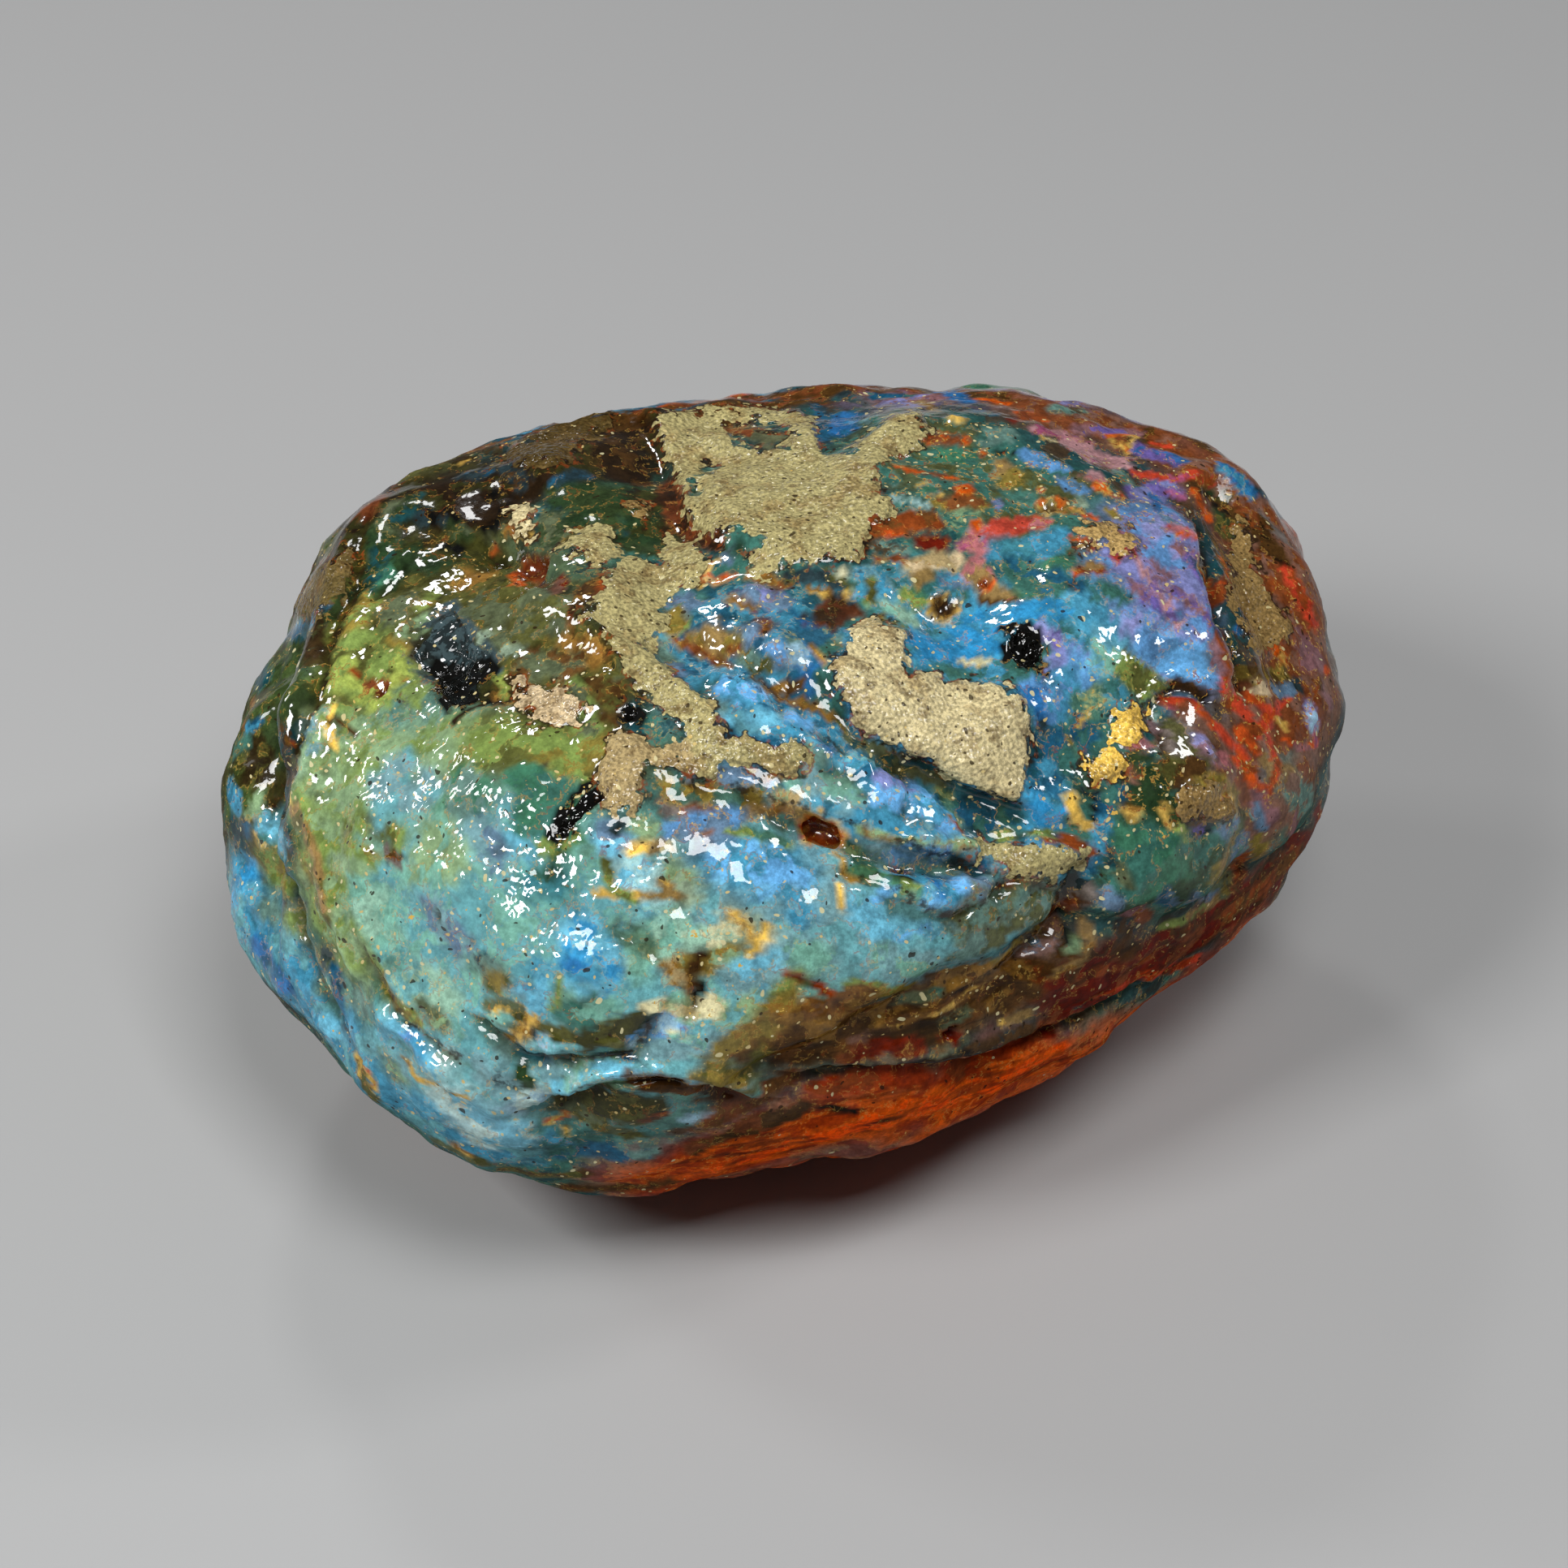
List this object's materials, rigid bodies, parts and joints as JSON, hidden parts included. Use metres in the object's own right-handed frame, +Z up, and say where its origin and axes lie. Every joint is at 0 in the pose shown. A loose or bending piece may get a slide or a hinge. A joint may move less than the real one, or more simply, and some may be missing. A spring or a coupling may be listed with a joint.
{
  "type": "dominican blue amber nodule",
  "caption": "Rough water-worn nodule of blue amber, mottled blue, teal, violet and red-brown with patches of sandy crust, resting on a small flat spot",
  "frame": {"origin": "on the ground, below the middle of the nodule's bounding box", "axes": "+X along the nodule towards its red-brown end, +Z up out of the flat spot it rests on, -Y towards the side it is shown from"},
  "size_m": [0.0666, 0.0528, 0.0366],
  "materials": {
    "blue_amber": "milky translucent amber with a wet gloss"
  },
  "bodies": {
    "root": {"amber_nodule": "blue_amber"}
  },
  "joints": []
}
